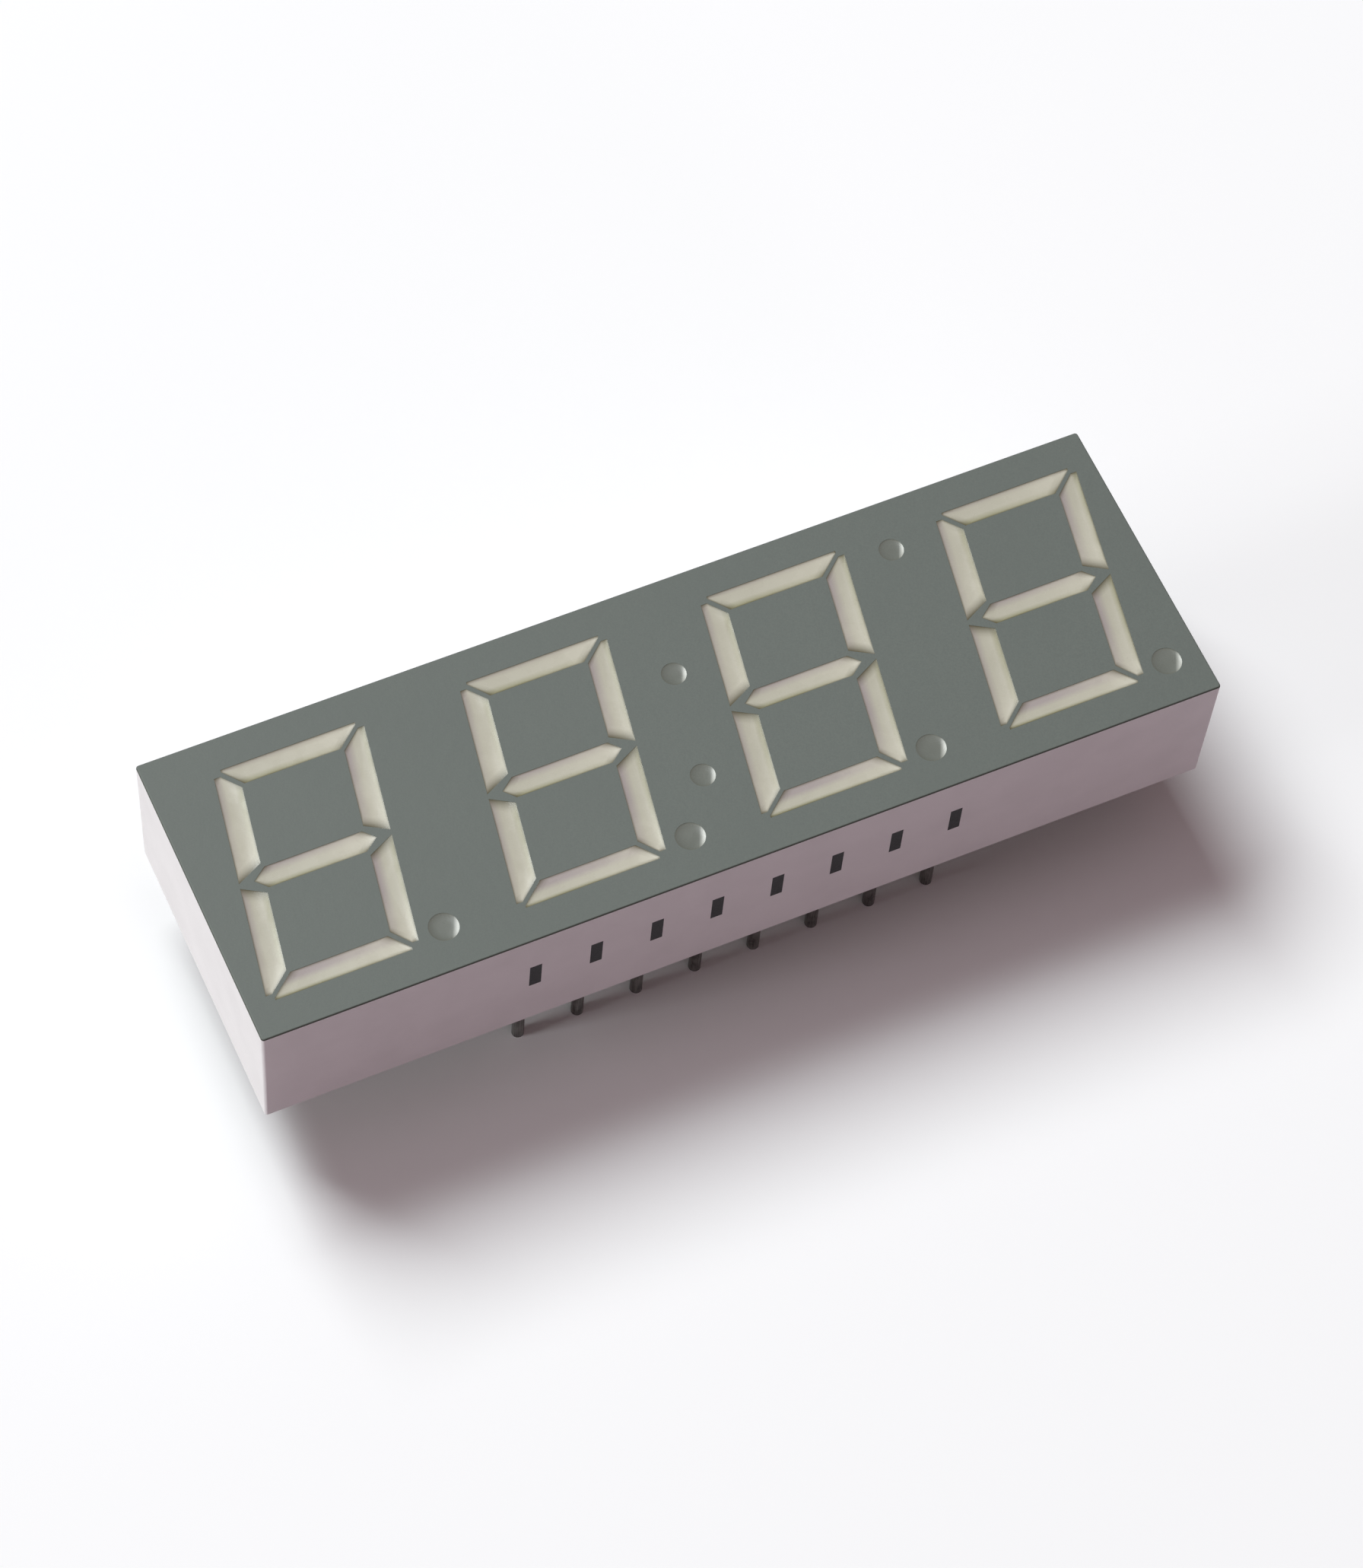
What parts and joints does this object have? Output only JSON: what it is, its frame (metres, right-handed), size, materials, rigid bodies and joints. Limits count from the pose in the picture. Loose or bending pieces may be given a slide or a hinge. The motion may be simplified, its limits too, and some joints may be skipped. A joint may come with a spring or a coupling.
{
  "type": "seven segment display module",
  "caption": "Through-hole LED clock display: slanted seven-segment digits with points, a colon and an apostrophe dot, in a white housing on two rows of pins.",
  "frame": {"origin": "middle of the pin grid, in the plane where the module sits on its circuit board", "axes": "+Z out of the display's face, +X along the row of digits in reading order, +Y to the digits' tops"},
  "size_m": [0.0402, 0.0128, 0.01],
  "materials": {
    "housing_plastic": "matte, grey ink on the face",
    "epoxy": "milky, satin",
    "board_laminate": "solder-masked laminate",
    "copper": "gold-plated",
    "tinned_pin": "tinned",
    "led_chip": "bare die",
    "bond_wire": "bright"
  },
  "bodies": {
    "root": {"reflector_housing": "housing_plastic", "epoxy_fill": "epoxy", "circuit_board": "board_laminate", "copper_lands": "copper", "pin_01": "tinned_pin", "pin_02": "tinned_pin", "pin_03": "tinned_pin", "pin_04": "tinned_pin", "pin_05": "tinned_pin", "pin_06": "tinned_pin", "pin_07": "tinned_pin", "pin_08": "tinned_pin", "pin_09": "tinned_pin", "pin_10": "tinned_pin", "pin_11": "tinned_pin", "pin_12": "tinned_pin", "pin_13": "tinned_pin", "pin_14": "tinned_pin", "pin_15": "tinned_pin", "pin_16": "tinned_pin", "led_chip_1a": "led_chip", "led_chip_1b": "led_chip", "led_chip_1c": "led_chip", "led_chip_1d": "led_chip", "led_chip_1e": "led_chip", "led_chip_1f": "led_chip", "led_chip_1g": "led_chip", "led_chip_1dp": "led_chip", "led_chip_2a": "led_chip", "led_chip_2b": "led_chip", "led_chip_2c": "led_chip", "led_chip_2d": "led_chip", "led_chip_2e": "led_chip", "led_chip_2f": "led_chip", "led_chip_2g": "led_chip", "led_chip_2dp": "led_chip", "led_chip_3a": "led_chip", "led_chip_3b": "led_chip", "led_chip_3c": "led_chip", "led_chip_3d": "led_chip", "led_chip_3e": "led_chip", "led_chip_3f": "led_chip", "led_chip_3g": "led_chip", "led_chip_3dp": "led_chip", "led_chip_4a": "led_chip", "led_chip_4b": "led_chip", "led_chip_4c": "led_chip", "led_chip_4d": "led_chip", "led_chip_4e": "led_chip", "led_chip_4f": "led_chip", "led_chip_4g": "led_chip", "led_chip_4dp": "led_chip", "led_chip_colon_upper": "led_chip", "led_chip_colon_lower": "led_chip", "led_chip_apostrophe": "led_chip", "bond_wires_digit_1": "bond_wire", "bond_wires_digit_2": "bond_wire", "bond_wires_digit_3": "bond_wire", "bond_wires_digit_4": "bond_wire", "bond_wires_colon_apostrophe": "bond_wire"}
  },
  "joints": []
}
